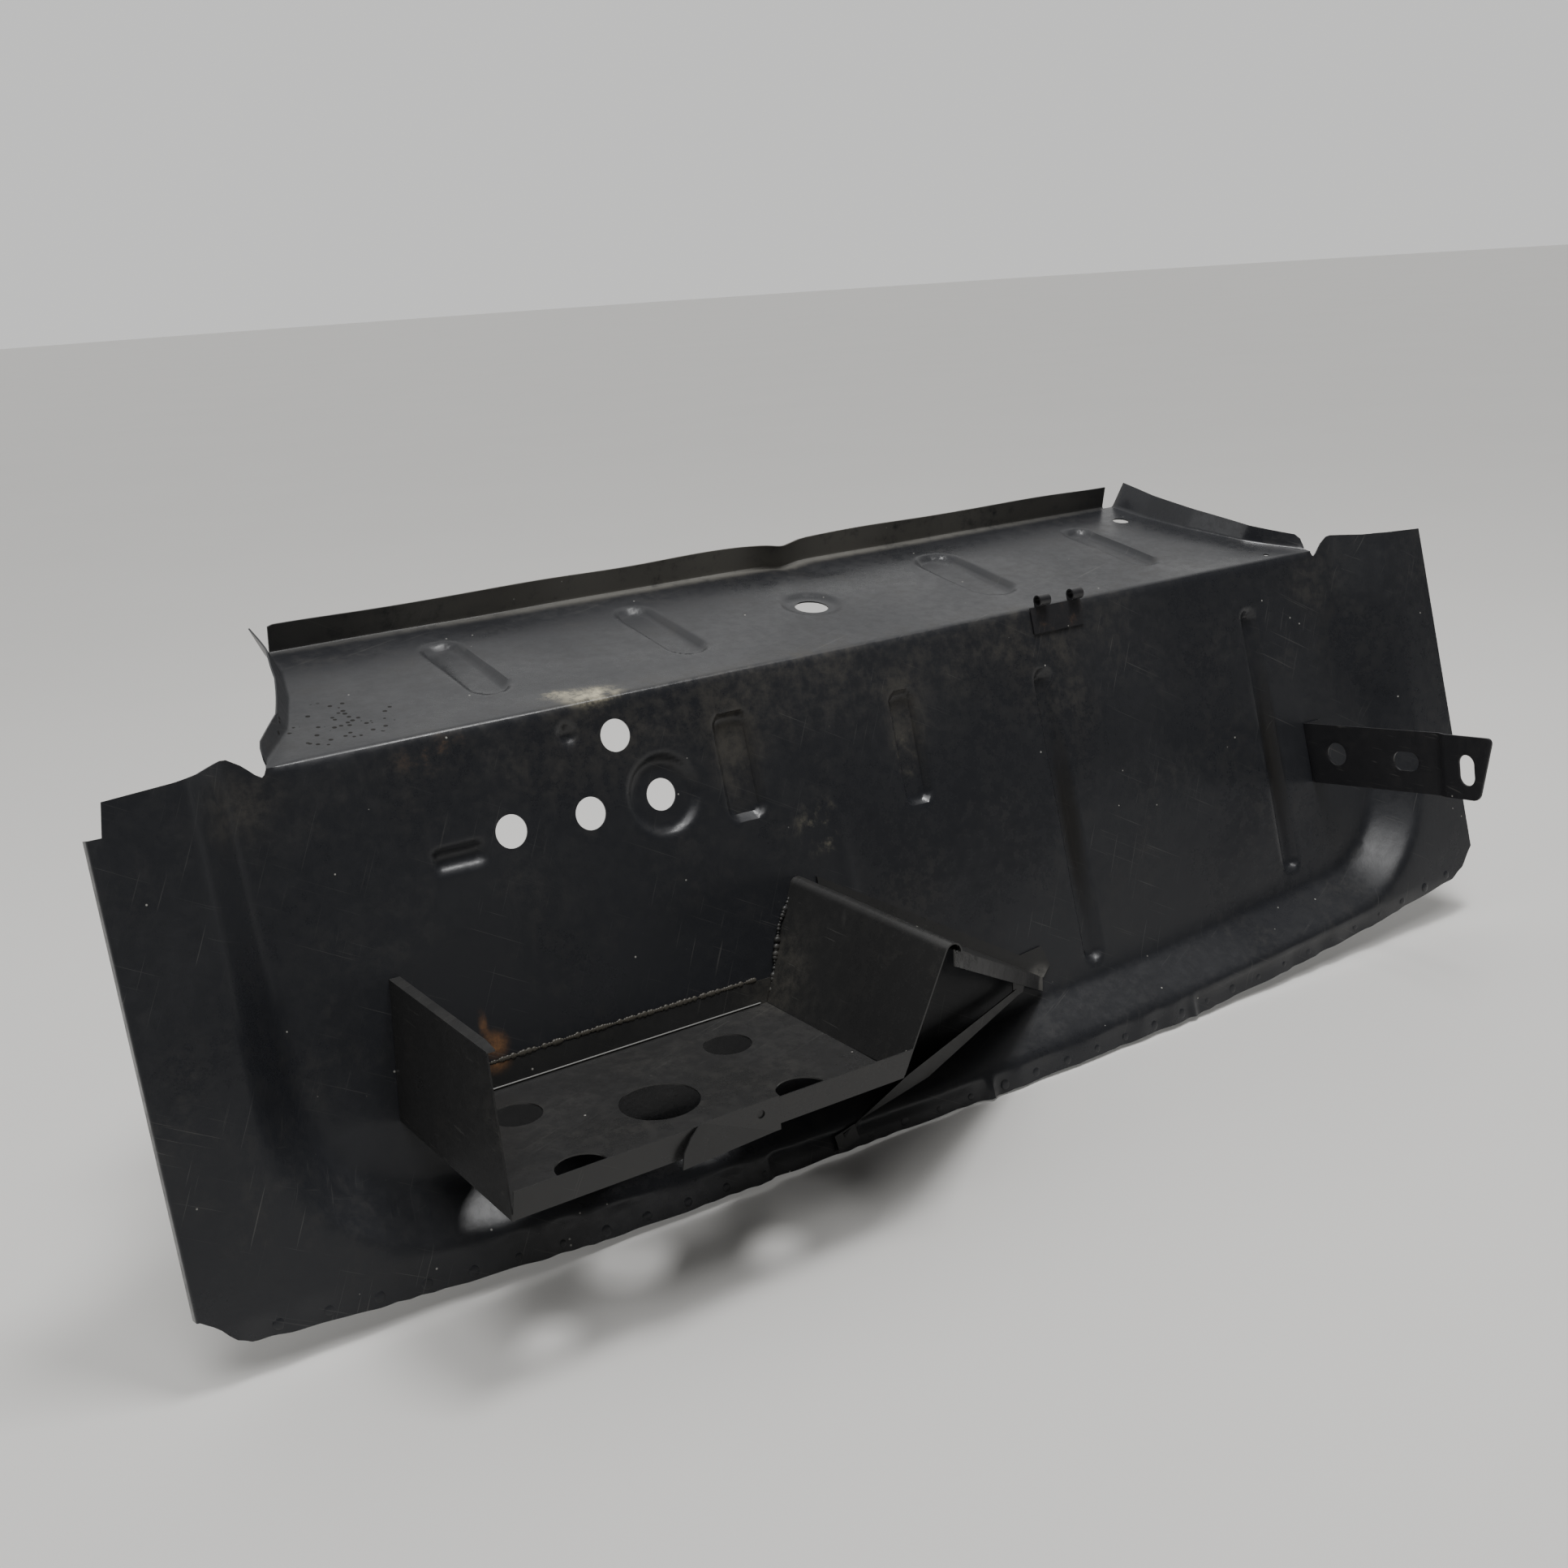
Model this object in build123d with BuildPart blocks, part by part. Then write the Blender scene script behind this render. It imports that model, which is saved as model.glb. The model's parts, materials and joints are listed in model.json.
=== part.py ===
from build123d import *
import os
from math import cos, radians, sin, sqrt

os.makedirs("parts", exist_ok=True)

# Driving dimensions, mm. X runs along the panel, Y to the back, Z up when the battery floor is level.
sheet = 1.2
face_kick = 13.5          # degrees the recessed face comes forward as it goes down
shelf_rise = 10.8         # degrees the shelf rises towards the back

fold_half = 520           # half the length of the fold between face and shelf
shelf_depth = 205
lip_half, lip_height = 437, 24
end_flange_back, end_flange_front = 29, 16
end_flange_lean = 25      # degrees the shelf's end flanges lean outwards
shelf_hole_back, shelf_hole_r = 102, 14.5
shelf_corner_holes = [(421, 161, 8), (471, 12, 3)]
shelf_bead_places = [(-324, 50, 164, 30), (-148, 50, 166, 32), (172, 44, 162, 40), (346, 44, 162, 28)]

dish_depth = 34
dish_half = 583           # half the width of the dish at its mouth
dish_corner = 115
dish_bottom_mid, dish_bottom_end = 366, 334
bead_depth = 4
face_bead_places = [(-156, 32, 116, 34), (8, 45, 138, 24), (163, 58, 312, 18), (423, 45, 294, 18)]
face_hole_places = [(-355, 81), (-290, 82), (-257, 29), (-226, 81)]
face_hole_r = 12.5

rim_half = 640            # half the width of the whole panel
rim_step, rim_step_down = 10, 21   # the left rim widens by this below its top corner
rim_bottom_mid, rim_bottom_end = 389, 356
rim_cut_left, rim_cut_right = 27, 36
rim_top = 4
edge_return = 12          # flange turned back along the left edge

tray_left, tray_right = -480, -175
tray_front, tray_down = -238, 252      # from the middle of the fold
tray_lip, tray_rear_flange = 18, 18
wall_height, wall_lean, wall_foot = 94, 13, 3     # left wall, upright at its foot
ridge_height, ridge_lean = 82, 43      # right wall
roll_r = 5

bracket_x, bracket_down, bracket_width = 470, 161, 58
bracket_reach, bracket_tab, bracket_rise, bracket_turn = 165, 48, 6.8, 10
bracket_thick = 2
bracket_hole = (34, -1, 11)            # along the arm, down, radius
bracket_long_hole = (113, 0, 28, 18)   # along, down, length, height
bracket_slot = (17, 2, 17, 28)         # along the end tab, down, width, length

# The origin is the middle of the shelf's centre hole, on the panel's mid plane.
rise, kick = radians(shelf_rise), radians(face_kick)
fold = Vector(0, -shelf_hole_back * cos(rise), -shelf_hole_back * sin(rise))
face_plane = Plane(origin=fold, x_dir=(1, 0, 0), z_dir=(0, -cos(kick), sin(kick)))
shelf_plane = Plane(origin=fold, x_dir=(1, 0, 0), z_dir=(0, -sin(rise), cos(rise)))


def on_face(x, down, out=0):
    """A point given along, down and out from the recessed face."""
    return face_plane.from_local_coords(Vector(x, -down, out))


def on_shelf(x, back, up=0):
    """A point given along, back and up from the shelf's top surface."""
    return shelf_plane.from_local_coords(Vector(x, back, up))


def level(x, y, z):
    """A point given from the middle of the fold, square to the battery floor."""
    return Vector(x, y, z) + fold


# ---- main pressing -------------------------------------------------------------------------------
def bead_bodies(plane, places, grow, depth):
    """Round-ended bars for beads (x, near, far, width) pressed down along local Y of a plane."""
    bars = []
    for x, near, far, width in places:
        slot = SlotOverall(abs(far - near) + 2 * grow, width + 2 * grow, rotation=90)
        bars.append(extrude(plane.offset(-depth) * Pos(x, (near + far) / 2) * slot, amount=depth))
    return bars


shelf_end = [(fold_half - 4, 12), (462, 110), (446, shelf_depth - 6)]


def end_flange(side):
    """The shelf's turned-up end flange, a leaning strip that follows the concave end."""
    lean = radians(end_flange_lean)
    widths = end_flange_front, (end_flange_front + end_flange_back) / 2, end_flange_back
    foot = ThreePointArc(*[on_shelf(side * x, y) for x, y in shelf_end])
    top = ThreePointArc(*[on_shelf(side * (x + w * sin(lean)), y, w * cos(lean))
                          for (x, y), w in zip(shelf_end, widths)])
    strip = Face.make_surface_from_curves(foot.edge(), top.edge())
    return Solid.thicken(strip, side * sheet)


def dish_outline(grow):
    """The dish's outline at its mouth, grown evenly by this much."""
    sag = dish_bottom_mid - dish_bottom_end
    bow = (dish_half**2 + sag**2) / (2 * sag)       # radius of the bottom edge's curve
    half = dish_half + grow
    end = bow - dish_bottom_mid - sqrt((bow + grow)**2 - half**2)
    with BuildSketch() as outline:
        with BuildLine():
            Polyline((-half, end), (-half, 60), (half, 60), (half, end))
            ThreePointArc((half, end), (0, -dish_bottom_mid - grow), (-half, end))
        make_face()
        fillet(outline.vertices().group_by(Axis.Y)[0], radius=dish_corner + grow)
    return outline.sketch


wall = sheet * sqrt(2)      # the sheet measured across a 45 degree wall
dish_mouth, dish_floor = dish_outline(0), dish_outline(-dish_depth)
dish_mouth_back, dish_floor_back = dish_outline(wall), dish_outline(wall - dish_depth - sheet)

# Everything behind the front surface of the dish and rim; the welded pieces are trimmed to it.
with BuildPart() as behind_panel:
    with BuildSketch(face_plane.offset(dish_depth)):
        Rectangle(1500, 1100)
    extrude(amount=-200)
    with BuildSketch(face_plane.offset(dish_depth)):
        add(dish_mouth)
    with BuildSketch(face_plane):
        add(dish_floor)
    loft(ruled=True, mode=Mode.SUBTRACT)

with BuildSketch() as rim_outline:
    left, low = -rim_half - rim_step, -rim_bottom_end
    with BuildLine():
        Polyline((left, low + rim_cut_left), (left, -rim_step_down), (-rim_half, -rim_step_down),
                 (-rim_half, rim_top), (rim_half, rim_top), (rim_half, low + rim_cut_right),
                 (rim_half - rim_cut_right, low))
        ThreePointArc((rim_half - rim_cut_right, low), (0, -rim_bottom_mid),
                      (left + rim_cut_left, low))
        Line((left + rim_cut_left, low), (left, low + rim_cut_left))
    make_face()

down_face = [(x, -near, -far, width) for x, near, far, width in face_bead_places]
bead_backs = (bead_bodies(face_plane, down_face, sheet, bead_depth + sheet)
              + bead_bodies(shelf_plane, shelf_bead_places, sheet, bead_depth + sheet))
bead_hollows = (bead_bodies(face_plane, down_face, 0, bead_depth)
                + bead_bodies(shelf_plane, shelf_bead_places, 0, bead_depth))
end_flanges = [end_flange(1), end_flange(-1)]

with BuildPart() as bulkhead_panel:
    # the recessed dish: a solid with 45 degree sides, less the same solid one sheet further in
    with BuildSketch(face_plane.offset(dish_depth)):
        add(dish_mouth_back)
    with BuildSketch(face_plane.offset(-sheet)):
        add(dish_floor_back)
    loft(ruled=True)
    with BuildSketch(face_plane.offset(dish_depth)):
        add(dish_mouth)
    with BuildSketch(face_plane):
        add(dish_floor)
    loft(ruled=True, mode=Mode.SUBTRACT)
    # the rim around its mouth
    with BuildSketch(face_plane.offset(dish_depth - sheet)):
        add(rim_outline.sketch)
        add(dish_mouth, mode=Mode.SUBTRACT)
    extrude(amount=sheet)
    # nothing of the dish stands above the fold and the rim's top edge
    with BuildSketch(face_plane.offset(-20)):
        with BuildLine():
            Polyline((-rim_half, rim_top), (-590, rim_top), (-547, 12), (-528, -3), (-fold_half, 0),
                     (fold_half, 0), (528, -3), (547, 12), (590, rim_top), (rim_half, rim_top),
                     (rim_half, 90), (-rim_half, 90), close=True)
        make_face()
    extrude(amount=dish_depth + 40, mode=Mode.SUBTRACT)
    # flange turned back along the left edge
    with BuildSketch(face_plane.offset(dish_depth)):
        with Locations((left + sheet / 2, (low + rim_cut_left - rim_step_down) / 2)):
            Rectangle(sheet, -low - rim_cut_left - rim_step_down)
    extrude(amount=-edge_return)
    # the shelf, its up-turned back lip and end flanges
    with BuildSketch(shelf_plane.offset(-sheet)):
        with BuildLine():
            Line((-fold_half, 0), (fold_half, 0))
            ThreePointArc((fold_half, 0), (462, 110), (446, shelf_depth))
            Line((446, shelf_depth), (-446, shelf_depth))
            ThreePointArc((-446, shelf_depth), (-462, 110), (-fold_half, 0))
        make_face()
    extrude(amount=sheet)
    with BuildSketch(shelf_plane):
        with Locations((0, shelf_depth - sheet / 2)):
            Rectangle(2 * lip_half, sheet)
    extrude(amount=lip_height)
    add(end_flanges)
    add(bead_backs)
    add(bead_hollows, mode=Mode.SUBTRACT)
    # holes for grommets, pipes and fixings
    with BuildSketch(face_plane):
        for x, down in face_hole_places:
            with Locations((x, -down)):
                Circle(face_hole_r)
    extrude(amount=2 * sheet, both=True, mode=Mode.SUBTRACT)
    with BuildSketch(shelf_plane):
        with Locations((0, shelf_hole_back)):
            Circle(shelf_hole_r)
        for x, back, radius in shelf_corner_holes:
            with Locations((x, back)):
                Circle(radius)
    extrude(amount=2 * sheet, both=True, mode=Mode.SUBTRACT)


# ---- battery tray --------------------------------------------------------------------------------
floor_z = -tray_down
floor_plane = Plane(origin=level(0, 0, floor_z))
floor_back = -tray_down * sin(kick) / cos(kick)     # where the floor meets the face
floor_s = tray_down / cos(kick)                     # the same line, measured down the face
drain_middle = ((tray_left + tray_right) / 2, -157)
drain_spacing, drain_big_r, drain_small_r = (174, 98), 29, 18.5

with BuildPart() as tray_floor:
    with BuildSketch(floor_plane):
        with BuildLine():
            Polyline((tray_left, tray_front), (tray_right, tray_front), (tray_right, floor_back + 20),
                     (tray_left, floor_back + 20), close=True)
        make_face()
    extrude(amount=-sheet)
    # the front lip stands up, and the rear flange lies on the panel's face; both fit between the walls
    left_in = (tray_lip - wall_foot) * wall_lean / wall_height
    right_out = tray_lip * ridge_lean / ridge_height
    with BuildSketch(Plane(origin=level(0, tray_front, floor_z), x_dir=(1, 0, 0), z_dir=(0, -1, 0))):
        with BuildLine():
            Polyline((tray_left, -sheet), (tray_right, -sheet), (tray_right, 0),
                     (tray_right + right_out, tray_lip), (tray_left + left_in, tray_lip),
                     (tray_left, wall_foot), close=True)
        make_face()
    extrude(amount=sheet)
    with BuildSketch(face_plane):
        with BuildLine():
            Polyline((tray_left, -floor_s - sheet), (tray_right, -floor_s - sheet), (tray_right, -floor_s),
                     (tray_right + right_out, tray_rear_flange - floor_s),
                     (tray_left + left_in, tray_rear_flange - floor_s), (tray_left, wall_foot - floor_s),
                     close=True)
        make_face()
    extrude(amount=sheet)
    add(behind_panel.part, mode=Mode.SUBTRACT)
    with BuildSketch(floor_plane):
        with Locations(drain_middle):
            Circle(drain_big_r)
            with GridLocations(*drain_spacing, 2, 2):
                Circle(drain_small_r)
    extrude(amount=-2 * sheet, mode=Mode.SUBTRACT)

# A side wall is drawn in its own plane: local X runs forward, local Y up the wall.
left_up = Vector(wall_lean, 0, wall_height - wall_foot).normalized()
left_plane = Plane(origin=level(tray_left, 0, floor_z + wall_foot), x_dir=(0, -1, 0),
                   z_dir=Vector(0, -1, 0).cross(left_up))
left_top = Vector(wall_lean, 0, wall_height - wall_foot).length
wall_front_top = 198

with BuildPart() as tray_left_wall:
    with BuildSketch(left_plane):
        with BuildLine():
            Polyline((20, -0.3), (-tray_front + sheet, -0.3), (wall_front_top, left_top), (20, left_top),
                     close=True)
        make_face()
    extrude(amount=sheet)
    with BuildSketch(Plane(origin=level(tray_left, 0, floor_z - sheet), x_dir=(1, 0, 0), z_dir=(0, 0, 1))):
        with BuildLine():
            Polyline((-sheet, -20), (-sheet, tray_front - sheet), (0, tray_front - sheet), (0, -20),
                     close=True)
        make_face()
    extrude(amount=sheet + wall_foot)
    with BuildSketch(Plane(origin=level(tray_left + wall_lean, 0, floor_z + wall_height))):
        with BuildLine():
            Polyline((-sheet, -20), (-sheet, -wall_front_top), (5, -wall_front_top), (7, -180), (7, -20),
                     close=True)
        make_face()
    extrude(amount=sheet)
    add(behind_panel.part, mode=Mode.SUBTRACT)

# The right wall leans out to a ridge, rolls over it and starts down the far side.
roof_slope = radians(31)
ridge_x, ridge_z = tray_right + ridge_lean, floor_z + ridge_height
ridge_s = -ridge_z / cos(kick)
section_plane = Plane(origin=level(0, tray_front, 0), x_dir=(1, 0, 0), z_dir=(0, 1, 0))


def section(x, z):
    """A point of the tray's cross section, seen from the back."""
    return section_plane.to_local_coords(level(x, tray_front, z))


with BuildPart() as tray_right_wall:
    with BuildSketch(section_plane):
        with BuildLine() as profile:
            foot = section(tray_right + sheet, floor_z)
            top = section(ridge_x, ridge_z)
            Line(foot, top)
            over = section(ridge_x + 14, ridge_z - 3)
            ThreePointArc(top, section(ridge_x + 6, ridge_z + 4.5), over)
            Line(over, section(ridge_x + 14 + 10 * cos(roof_slope), ridge_z - 3 - 10 * sin(roof_slope)))
        trace(line_width=sheet)
    extrude(amount=-tray_front)
    # flange welded to the panel's face beside the wall
    with BuildSketch(face_plane):
        with BuildLine():
            Polyline((tray_right + 1, -floor_s), (tray_right + 13, -floor_s), (ridge_x + 7, -ridge_s - 2),
                     (ridge_x + 1, -ridge_s), close=True)
        make_face()
    extrude(amount=sheet)
    add(behind_panel.part, mode=Mode.SUBTRACT)

# The brace carries the tray's right end: a roof plate, its front flange, and a stay to the rim.
brace_x = ridge_x + 8
brace_z = ridge_z - 3 + (6 * sin(roof_slope) - sheet / 2) / cos(roof_slope)   # under the wall's roll
tip_x, tip_y = 96, -78


def roof_point(x, y, below=0):
    """A point on the roof plate's top, or this far below it."""
    return level(x, y, brace_z - (x - brace_x) * sin(roof_slope) / cos(roof_slope) - below)


def plate(points, out, thick=sheet):
    """A flat plate with these corners, thickened along the direction out."""
    return extrude(Face(Wire.make_polygon(points, close=True)), amount=thick, dir=out)


roof_tip_s = -(roof_point(tip_x, 0) - fold).Z / cos(kick)
roof_start_s = -(roof_point(brace_x, 0) - fold).Z / cos(kick)
stay_foot = on_face(-149, 374, dish_depth)
stay_head = roof_point(62, -84, 22)
stay_wide = stay_foot + (stay_head - stay_foot) * 0.36
stay_run = (stay_head - stay_foot).normalized()
stay_out = stay_run.cross(Vector(0, 1, 0).cross(stay_run)).normalized() * -1
stay_across = stay_run.cross(stay_out)

with BuildPart() as tray_brace:
    add(plate([roof_point(brace_x, 0), roof_point(brace_x, tray_front), roof_point(tip_x, tip_y),
               roof_point(tip_x, 0)], Vector(0, 0, -1)))
    # front flange
    add(plate([roof_point(brace_x, tray_front), roof_point(tip_x, tip_y), roof_point(tip_x, tip_y, 13),
               roof_point(brace_x, tray_front, 13)], Vector(-0.56, 0.83, 0)))
    # flange welded to the face above the roof, ending in an upturned ear
    add(plate([on_face(brace_x + 17, roof_start_s + 12), on_face(brace_x + 17, roof_start_s - 1),
               on_face(tip_x - 16, roof_tip_s - 22), on_face(tip_x + 8, roof_tip_s - 24),
               on_face(tip_x + 14, roof_tip_s - 6), on_face(tip_x + 4, roof_tip_s + 3)],
              face_plane.z_dir))
    # stay from the rim up to the roof
    add(plate([stay_foot - stay_across * 4, stay_wide - stay_across * 8, stay_head - stay_across * 3,
               stay_head + stay_across * 3, stay_wide + stay_across * 8, stay_foot + stay_across * 4],
              stay_out))
    add(plate([stay_head + Vector(-5, 0, -4), roof_point(56, -84, 0.6), roof_point(74, -84, 0.6),
               stay_head + Vector(5, 0, -2)], Vector(0, -1, 0)))
    add(plate([on_face(-158, 370, dish_depth), on_face(-138, 366, dish_depth),
               on_face(-136, 378, dish_depth), on_face(-156, 384, dish_depth)], face_plane.z_dir))
    add(behind_panel.part, mode=Mode.SUBTRACT)

# ---- clamp tab on the tray's front lip -----------------------------------------------------------
tab_hole = (-296, -241, 3)
tab_bend = 0.2            # forwards per mm away from the crease


def on_lip(x, z, out=0):
    """A point on the front of the tray's lip."""
    return level(x, tray_front - sheet - out, z)


def on_bend(x, z):
    """A point on the tab's lower left corner, bent forwards about a diagonal crease."""
    along, down = x + 342, -232 - z
    return on_lip(x, z, (down * 57 - along * 25) / 62.2 * tab_bend)


with BuildPart() as clamp_tab:
    add(plate([on_lip(-342, -232), on_lip(-281, -232), on_lip(-281, -257), on_lip(-285, -257)],
              Vector(0, -1, 0)))
    add(plate([on_lip(-342, -232), on_lip(-285, -257), on_bend(-362, -257), on_bend(-359, -247),
               on_bend(-352, -239)], Vector(0, -1, 0)))
    with BuildSketch(Plane(origin=on_lip(0, 0), x_dir=(1, 0, 0), z_dir=(0, -1, 0))):
        with Locations((tab_hole[0], tab_hole[1])):
            Circle(tab_hole[2])
    extrude(amount=2 * sheet, mode=Mode.SUBTRACT)

# ---- strap bracket -------------------------------------------------------------------------------
climb = radians(bracket_rise)
run = Vector(0, -cos(climb), sin(climb))
turn = radians(bracket_turn)
bracket_plane = Plane(origin=on_face(bracket_x, bracket_down + bracket_width / 2), x_dir=run,
                      z_dir=(1, 0, 0))
tab_run = run * cos(turn) - Vector(1, 0, 0) * sin(turn)
tab_plane = Plane(origin=bracket_plane.from_local_coords(Vector(bracket_reach, 0, 0)), x_dir=tab_run,
                  z_dir=Vector(1, 0, 0) * cos(turn) + run * sin(turn))
half = bracket_width / 2

with BuildPart() as strap_bracket:
    with BuildSketch(bracket_plane):
        with BuildLine():
            Polyline((-20, -half), (bracket_reach, -half), (bracket_reach, half), (-20, half), close=True)
        make_face()
        with Locations(bracket_hole[:2]):
            Circle(bracket_hole[2], mode=Mode.SUBTRACT)
        with Locations(bracket_long_hole[:2]):
            SlotOverall(bracket_long_hole[2], bracket_long_hole[3], mode=Mode.SUBTRACT)
    extrude(amount=bracket_thick)
    with BuildSketch(tab_plane):
        with BuildLine():
            Polyline((-0.4, -half), (bracket_tab - 5, -half), (bracket_tab, 5 - half),
                     (bracket_tab - 15, half - 4), (bracket_tab - 20, half), (-0.4, half), close=True)
        make_face()
        with Locations(bracket_slot[:2]):
            SlotOverall(bracket_slot[3], bracket_slot[2], rotation=90, mode=Mode.SUBTRACT)
    extrude(amount=bracket_thick)
    # foot flange on the panel's face
    with BuildSketch(face_plane):
        with Locations((bracket_x + 11, -bracket_down - half)):
            RectangleRounded(22, bracket_width, 3)
    extrude(amount=bracket_thick)
    add(behind_panel.part, mode=Mode.SUBTRACT)

# ---- loop clip at the fold -----------------------------------------------------------------------
clip_left, clip_right, clip_low = 160, 218, -22
loop_r, loop_width = 5, 12
loop_places = [172, 210]

with BuildPart() as loop_clip:
    with BuildSketch(face_plane):
        with Locations(((clip_left + clip_right) / 2, (clip_low + 1) / 2)):
            Rectangle(clip_right - clip_left, 1 - clip_low)
        for x in loop_places:
            with Locations((x, 3)):
                Rectangle(loop_width, 6)
    extrude(amount=sheet)
    for x in loop_places:
        centre = face_plane.from_local_coords(Vector(x - loop_width / 2, 6, loop_r))
        with BuildSketch(Plane(origin=centre, z_dir=(1, 0, 0))):
            Circle(loop_r)
            Circle(loop_r - sheet, mode=Mode.SUBTRACT)
        extrude(amount=loop_width)

# The pressing is stored as touching solids that meet along its creases: rim and walls, face,
# shelf, lip and end flanges.
mitre = Plane(origin=fold, x_dir=(1, 0, 0),
              z_dir=Vector(1, 0, 0).cross(face_plane.z_dir + shelf_plane.z_dir))
rim_side = split(bulkhead_panel.part, bisect_by=face_plane, keep=Keep.TOP)
sheet_side = split(bulkhead_panel.part, bisect_by=face_plane, keep=Keep.BOTTOM)
face_side = split(sheet_side, bisect_by=mitre, keep=Keep.TOP)
shelf_side = split(sheet_side, bisect_by=mitre, keep=Keep.BOTTOM)
lip_side = split(shelf_side, bisect_by=shelf_plane, keep=Keep.TOP)
shelf_flat = split(shelf_side, bisect_by=shelf_plane, keep=Keep.BOTTOM)
pressing = Compound(children=[solid for side in (rim_side, face_side, lip_side, shelf_flat)
                              for solid in side.solids()])

pieces = {"bulkhead_panel": pressing, "tray_floor": tray_floor.part, "tray_left_wall": tray_left_wall.part,
          "tray_right_wall": tray_right_wall.part, "tray_brace": tray_brace.part,
          "clamp_tab": clamp_tab.part, "strap_bracket": strap_bracket.part, "loop_clip": loop_clip.part}
for name, piece in pieces.items():
    piece.label = name
    export_step(piece, f"parts/{name}.step")
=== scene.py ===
import bmesh
import bpy
import json
import math
import numpy as np
from mathutils import Matrix, Vector


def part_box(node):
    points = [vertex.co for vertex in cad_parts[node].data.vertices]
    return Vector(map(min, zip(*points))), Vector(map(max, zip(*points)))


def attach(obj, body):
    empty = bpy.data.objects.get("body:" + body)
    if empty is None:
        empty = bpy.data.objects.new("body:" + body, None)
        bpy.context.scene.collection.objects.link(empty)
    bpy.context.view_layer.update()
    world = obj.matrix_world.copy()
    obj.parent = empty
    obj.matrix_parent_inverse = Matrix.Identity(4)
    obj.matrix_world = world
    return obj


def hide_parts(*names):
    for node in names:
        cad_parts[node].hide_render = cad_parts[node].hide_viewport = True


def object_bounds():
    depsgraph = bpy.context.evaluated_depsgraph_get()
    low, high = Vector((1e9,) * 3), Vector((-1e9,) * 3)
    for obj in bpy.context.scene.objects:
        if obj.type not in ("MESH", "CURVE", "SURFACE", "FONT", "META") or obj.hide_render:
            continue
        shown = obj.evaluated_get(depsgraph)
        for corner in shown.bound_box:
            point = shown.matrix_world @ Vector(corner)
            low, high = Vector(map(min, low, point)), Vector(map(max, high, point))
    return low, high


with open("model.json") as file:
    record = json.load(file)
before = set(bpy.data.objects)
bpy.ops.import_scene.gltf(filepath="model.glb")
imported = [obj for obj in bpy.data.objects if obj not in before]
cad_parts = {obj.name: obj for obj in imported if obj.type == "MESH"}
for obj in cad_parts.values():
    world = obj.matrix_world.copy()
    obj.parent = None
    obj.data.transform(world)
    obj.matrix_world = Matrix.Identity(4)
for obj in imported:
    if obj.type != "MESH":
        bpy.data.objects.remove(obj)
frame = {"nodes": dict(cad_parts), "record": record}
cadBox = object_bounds()
mounts = {m["name"]: m for m in frame["record"]["mounts"]}
colours = {m["slot"]: m["base_color"] for m in frame["record"]["materials"]}
mm = 0.001

# Values to change, one set per piece. Panel and strap sizes are in millimetres, the rest in metres.
panel = {
    "sheet": 1.2, "foldHalf": 520, "foldRound": 5, "shelfHole": 102,
    "dishDepth": 34, "floorHalf": 549, "floorBottom": 332, "floorCorner": 81, "bottomBow": 5292,
    "creaseSoft": 3.2, "beadDepth": 7, "shelfBeadDepth": 5, "beadEdge": 5, "beadCorner": 10,
    # upright beads in the face and shelf: centre, near end, far end, width
    "faceBeads": [(-156, 30, 116, 34), (9, 43, 140, 27), (162, 52, 316, 20), (422, 42, 296, 20)],
    "shelfBeads": [(-324, 50, 164, 34), (-148, 50, 166, 34), (172, 44, 162, 46), (352, 44, 162, 32)],
    "sideBead": (-398, 90, 12, 9),
    "ring": (-226, 81, 25, 33, 5.5), "shelfRing": (0, 102, 20, 29, 3), "dimple": (-296, 21, 9, 4.5),
    "joggles": [(-225, 3.0), (-5, -3.0), (231, 2.6)],
    "flatNoise": 0.9, "rimNoise": 1.6, "seed": 7,
    "lipHeight": 23.5, "lipHalf": 437, "returnDepth": 11,
    "flangeLean": 25, "flangeWidths": ((0, 0.5), (6, 1.5), (16, 15), (100, 21), (201, 28)),
    "shelfEnds": ((0, 520), (12, 513), (55, 483), (110, 462), (160, 449.5), (205, 446)),
    "rimTop": ((520, 0), (523, 6), (527, 4), (536, -5), (547, -12), (556, -10), (572, -6), (590, -3.9),
               (640, -1), (651, -1)),
    "rimBottomLeft": ((0, 388), (240, 385.5), (356, 383.5), (480, 375), (560, 368), (619, 361.5),
                      (628, 357), (637, 346), (643, 342), (651, 335)),
    "rimBottomRight": ((0, 388), (240, 385), (356, 377), (490, 364), (604, 347.5), (622, 339),
                       (632, 329), (641, 320)),
}
strap = {
    "thick": 2, "half": 28.8, "climb": 6.8, "arm": 150, "stepRun": 8, "stepTurn": 27, "tabTurn": 5,
    "bendEase": 4, "tabEnd": 213, "tabSlant": 18, "corner": 6, "edgeSoft": 0.5,
    # holes: along the strip, across it, length, width
    "hole": (34, -1, 22, 22), "longHole": (113, 0, 28, 18), "slot": (183, 2, 17, 28),
    "footSpot": (470, 161),
}
floorBend = {"left": -474, "right": -181, "radius": 0.0006}
sealerRow = {"spacing": 0.0021, "size": 0.0017, "height": 0.5, "scatter": 0.5}
welds = {"spacing": 0.034, "size": 0.0034, "height": 0.13, "scatter": 0.3}
seam = {"spacing": 0.0028, "size": 0.0019, "height": 0.7, "scatter": 0.6}
# the tar colour serves both the real tar drops on the shelf and the painted shade in the face's rib
# grooves
coat = {"roughLow": 0.24, "roughHigh": 0.46, "tarAndShade": (0.006, 0.005, 0.004),
        "dust": (0.06, 0.055, 0.046), "paintedReflection": (0.15, 0.145, 0.13), "rust": (0.24, 0.115, 0.045),
        "cream": (0.52, 0.47, 0.33), "bare": (0.2, 0.195, 0.18), "speck": (0.5, 0.49, 0.45)}
cameraSpot = (-0.8732, -1.2928, 0.2940)
cameraAxes = {"right": (0.8288, -0.5559, -0.0644), "down": (-0.2077, -0.1987, -0.9578),
              "ahead": (0.5196, 0.8071, -0.2801)}
cameraLens = 41.89

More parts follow.
